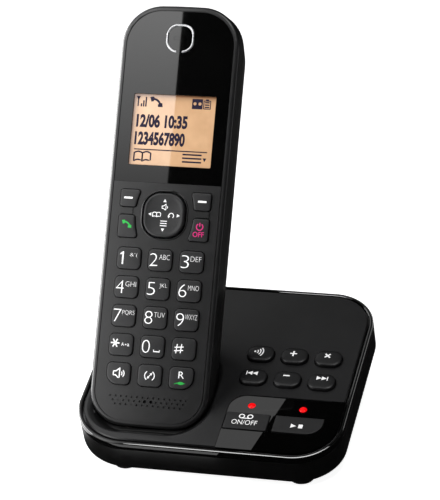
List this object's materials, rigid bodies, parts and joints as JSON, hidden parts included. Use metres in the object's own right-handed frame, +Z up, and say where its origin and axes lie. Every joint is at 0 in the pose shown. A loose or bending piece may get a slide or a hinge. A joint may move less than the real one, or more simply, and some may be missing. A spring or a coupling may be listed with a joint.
{
  "type": "telephone answering machine",
  "caption": "Cordless telephone handset with keypad and amber display, standing in a sloping charging base with a built-in answering machine.",
  "frame": {"origin": "on the table, under the middle of the whole object with the handset docked", "axes": "+Z up, -Y towards the user, +X to the right of the user, where the answering buttons are"},
  "size_m": [0.1038, 0.1144, 0.1465],
  "materials": {
    "matte_black_abs": "fine spark-eroded matte black",
    "key_plastic": "smooth satin dark grey key plastic",
    "gloss_black_panel": "polished piano black",
    "chrome_trim": "bright plated",
    "screen_amber": "backlit amber liquid crystal window",
    "lamp_red": "clear red lens",
    "rubber_black": "moulded black rubber",
    "silicone_mat": "soft grey silicone",
    "board_laminate": "green solder mask",
    "steel_parts": "plated steel",
    "contact_metal": "gold-coloured spring contact",
    "cell_jacket": "plain green shrink sleeve"
  },
  "bodies": {
    "base": {"base_top_cover": "matte_black_abs", "base_trim_ring": "gloss_black_panel", "control_panel": "gloss_black_panel", "base_bottom_shell": "matte_black_abs", "desk_stand": "matte_black_abs", "cradle_well": "matte_black_abs", "base_circuit_board": "board_laminate", "base_button_mat": "silicone_mat", "base_speaker": "steel_parts", "base_charge_contacts": "contact_metal", "power_jack": "matte_black_abs", "line_jack": "matte_black_abs", "rubber_feet": "rubber_black", "base_screws": "steel_parts", "indicator_lights": "lamp_red"},
    "handset": {"handset_front_shell": "matte_black_abs", "handset_back_shell": "matte_black_abs", "display_panel": "gloss_black_panel", "lcd_screen": "screen_amber", "earpiece_ring": "chrome_trim", "earpiece_speaker": "steel_parts", "handset_circuit_board": "board_laminate", "key_mat": "silicone_mat", "ringer_speaker": "steel_parts", "microphone": "steel_parts", "battery_cells": "cell_jacket", "battery_contacts": "contact_metal", "handset_charge_contacts": "contact_metal", "handset_screws": "steel_parts"},
    "battery_cover": {"battery_cover": "matte_black_abs"},
    "navigator_pivot": {"navigator_pivot": "silicone_mat"},
    "navigator_key": {"navigator_key": "key_plastic"},
    "key_1": {"key_1": "key_plastic"},
    "key_2": {"key_2": "key_plastic"},
    "key_3": {"key_3": "key_plastic"},
    "key_4": {"key_4": "key_plastic"},
    "key_5": {"key_5": "key_plastic"},
    "key_6": {"key_6": "key_plastic"},
    "key_7": {"key_7": "key_plastic"},
    "key_8": {"key_8": "key_plastic"},
    "key_9": {"key_9": "key_plastic"},
    "key_star": {"key_star": "key_plastic"},
    "key_0": {"key_0": "key_plastic"},
    "key_hash": {"key_hash": "key_plastic"},
    "key_speaker": {"key_speaker": "key_plastic"},
    "key_intercom": {"key_intercom": "key_plastic"},
    "key_recall": {"key_recall": "key_plastic"},
    "soft_key_left": {"soft_key_left": "key_plastic"},
    "soft_key_right": {"soft_key_right": "key_plastic"},
    "talk_key": {"talk_key": "key_plastic"},
    "off_key": {"off_key": "key_plastic"},
    "locator_button": {"locator_button": "key_plastic"},
    "volume_up_button": {"volume_up_button": "key_plastic"},
    "erase_button": {"erase_button": "key_plastic"},
    "skip_back_button": {"skip_back_button": "key_plastic"},
    "volume_down_button": {"volume_down_button": "key_plastic"},
    "skip_forward_button": {"skip_forward_button": "key_plastic"},
    "answer_button": {"answer_button": "key_plastic"},
    "play_button": {"play_button": "key_plastic"}
  },
  "joints": [
    {"name": "handset_lift", "type": "slide", "parent": "base", "child": "handset", "axis": [0, 0.565, 0.8251], "range_m": [0, 0.08]},
    {"name": "battery_cover_release", "type": "slide", "parent": "handset", "child": "battery_cover", "axis": [0, 0.8251, -0.565], "range_m": [0, 0.006]},
    {"name": "navigator_tip", "type": "hinge", "parent": "handset", "child": "navigator_pivot", "pos_m": [-0.02415, 0.00351, 0.07925], "axis": [1, 0, 0], "range_deg": [-4, 4], "stiffness_Nm_per_rad": 0.02},
    {"name": "navigator_rock", "type": "hinge", "parent": "navigator_pivot", "child": "navigator_key", "pos_m": [-0.02415, 0.00351, 0.07925], "axis": [0, 0.565, 0.8251], "range_deg": [-4, 4], "stiffness_Nm_per_rad": 0.02},
    {"name": "key_1_press", "type": "slide", "parent": "handset", "child": "key_1", "axis": [0, -0.8251, 0.565], "range_m": [-0.0006, 0], "stiffness_N_per_m": 120, "springref_m": 0.0003},
    {"name": "key_2_press", "type": "slide", "parent": "handset", "child": "key_2", "axis": [0, -0.8251, 0.565], "range_m": [-0.0006, 0], "stiffness_N_per_m": 120, "springref_m": 0.0003},
    {"name": "key_3_press", "type": "slide", "parent": "handset", "child": "key_3", "axis": [0, -0.8251, 0.565], "range_m": [-0.0006, 0], "stiffness_N_per_m": 120, "springref_m": 0.0003},
    {"name": "key_4_press", "type": "slide", "parent": "handset", "child": "key_4", "axis": [0, -0.8251, 0.565], "range_m": [-0.0006, 0], "stiffness_N_per_m": 120, "springref_m": 0.0003},
    {"name": "key_5_press", "type": "slide", "parent": "handset", "child": "key_5", "axis": [0, -0.8251, 0.565], "range_m": [-0.0006, 0], "stiffness_N_per_m": 120, "springref_m": 0.0003},
    {"name": "key_6_press", "type": "slide", "parent": "handset", "child": "key_6", "axis": [0, -0.8251, 0.565], "range_m": [-0.0006, 0], "stiffness_N_per_m": 120, "springref_m": 0.0003},
    {"name": "key_7_press", "type": "slide", "parent": "handset", "child": "key_7", "axis": [0, -0.8251, 0.565], "range_m": [-0.0006, 0], "stiffness_N_per_m": 120, "springref_m": 0.0003},
    {"name": "key_8_press", "type": "slide", "parent": "handset", "child": "key_8", "axis": [0, -0.8251, 0.565], "range_m": [-0.0006, 0], "stiffness_N_per_m": 120, "springref_m": 0.0003},
    {"name": "key_9_press", "type": "slide", "parent": "handset", "child": "key_9", "axis": [0, -0.8251, 0.565], "range_m": [-0.0006, 0], "stiffness_N_per_m": 120, "springref_m": 0.0003},
    {"name": "key_star_press", "type": "slide", "parent": "handset", "child": "key_star", "axis": [0, -0.8251, 0.565], "range_m": [-0.0006, 0], "stiffness_N_per_m": 120, "springref_m": 0.0003},
    {"name": "key_0_press", "type": "slide", "parent": "handset", "child": "key_0", "axis": [0, -0.8251, 0.565], "range_m": [-0.0006, 0], "stiffness_N_per_m": 120, "springref_m": 0.0003},
    {"name": "key_hash_press", "type": "slide", "parent": "handset", "child": "key_hash", "axis": [0, -0.8251, 0.565], "range_m": [-0.0006, 0], "stiffness_N_per_m": 120, "springref_m": 0.0003},
    {"name": "key_speaker_press", "type": "slide", "parent": "handset", "child": "key_speaker", "axis": [0, -0.8251, 0.565], "range_m": [-0.0006, 0], "stiffness_N_per_m": 120, "springref_m": 0.0003},
    {"name": "key_intercom_press", "type": "slide", "parent": "handset", "child": "key_intercom", "axis": [0, -0.8251, 0.565], "range_m": [-0.0006, 0], "stiffness_N_per_m": 120, "springref_m": 0.0003},
    {"name": "key_recall_press", "type": "slide", "parent": "handset", "child": "key_recall", "axis": [0, -0.8251, 0.565], "range_m": [-0.0006, 0], "stiffness_N_per_m": 120, "springref_m": 0.0003},
    {"name": "soft_key_left_press", "type": "slide", "parent": "handset", "child": "soft_key_left", "axis": [0, -0.8251, 0.565], "range_m": [-0.0006, 0], "stiffness_N_per_m": 120, "springref_m": 0.0003},
    {"name": "soft_key_right_press", "type": "slide", "parent": "handset", "child": "soft_key_right", "axis": [0, -0.8251, 0.565], "range_m": [-0.0006, 0], "stiffness_N_per_m": 120, "springref_m": 0.0003},
    {"name": "talk_key_press", "type": "slide", "parent": "handset", "child": "talk_key", "axis": [0, -0.8251, 0.565], "range_m": [-0.0006, 0], "stiffness_N_per_m": 120, "springref_m": 0.0003},
    {"name": "off_key_press", "type": "slide", "parent": "handset", "child": "off_key", "axis": [0, -0.8251, 0.565], "range_m": [-0.0006, 0], "stiffness_N_per_m": 120, "springref_m": 0.0003},
    {"name": "locator_button_press", "type": "slide", "parent": "base", "child": "locator_button", "axis": [0, -0.2164, 0.9763], "range_m": [-0.0012, 0], "stiffness_N_per_m": 150, "springref_m": 0.0004},
    {"name": "volume_up_button_press", "type": "slide", "parent": "base", "child": "volume_up_button", "axis": [0, -0.2164, 0.9763], "range_m": [-0.0012, 0], "stiffness_N_per_m": 150, "springref_m": 0.0004},
    {"name": "erase_button_press", "type": "slide", "parent": "base", "child": "erase_button", "axis": [0, -0.2164, 0.9763], "range_m": [-0.0012, 0], "stiffness_N_per_m": 150, "springref_m": 0.0004},
    {"name": "skip_back_button_press", "type": "slide", "parent": "base", "child": "skip_back_button", "axis": [0, -0.2164, 0.9763], "range_m": [-0.0012, 0], "stiffness_N_per_m": 150, "springref_m": 0.0004},
    {"name": "volume_down_button_press", "type": "slide", "parent": "base", "child": "volume_down_button", "axis": [0, -0.2164, 0.9763], "range_m": [-0.0012, 0], "stiffness_N_per_m": 150, "springref_m": 0.0004},
    {"name": "skip_forward_button_press", "type": "slide", "parent": "base", "child": "skip_forward_button", "axis": [0, -0.2164, 0.9763], "range_m": [-0.0012, 0], "stiffness_N_per_m": 150, "springref_m": 0.0004},
    {"name": "answer_button_press", "type": "slide", "parent": "base", "child": "answer_button", "axis": [0, -0.2164, 0.9763], "range_m": [-0.0012, 0], "stiffness_N_per_m": 150, "springref_m": 0.0004},
    {"name": "play_button_press", "type": "slide", "parent": "base", "child": "play_button", "axis": [0, -0.2164, 0.9763], "range_m": [-0.0012, 0], "stiffness_N_per_m": 150, "springref_m": 0.0004}
  ]
}
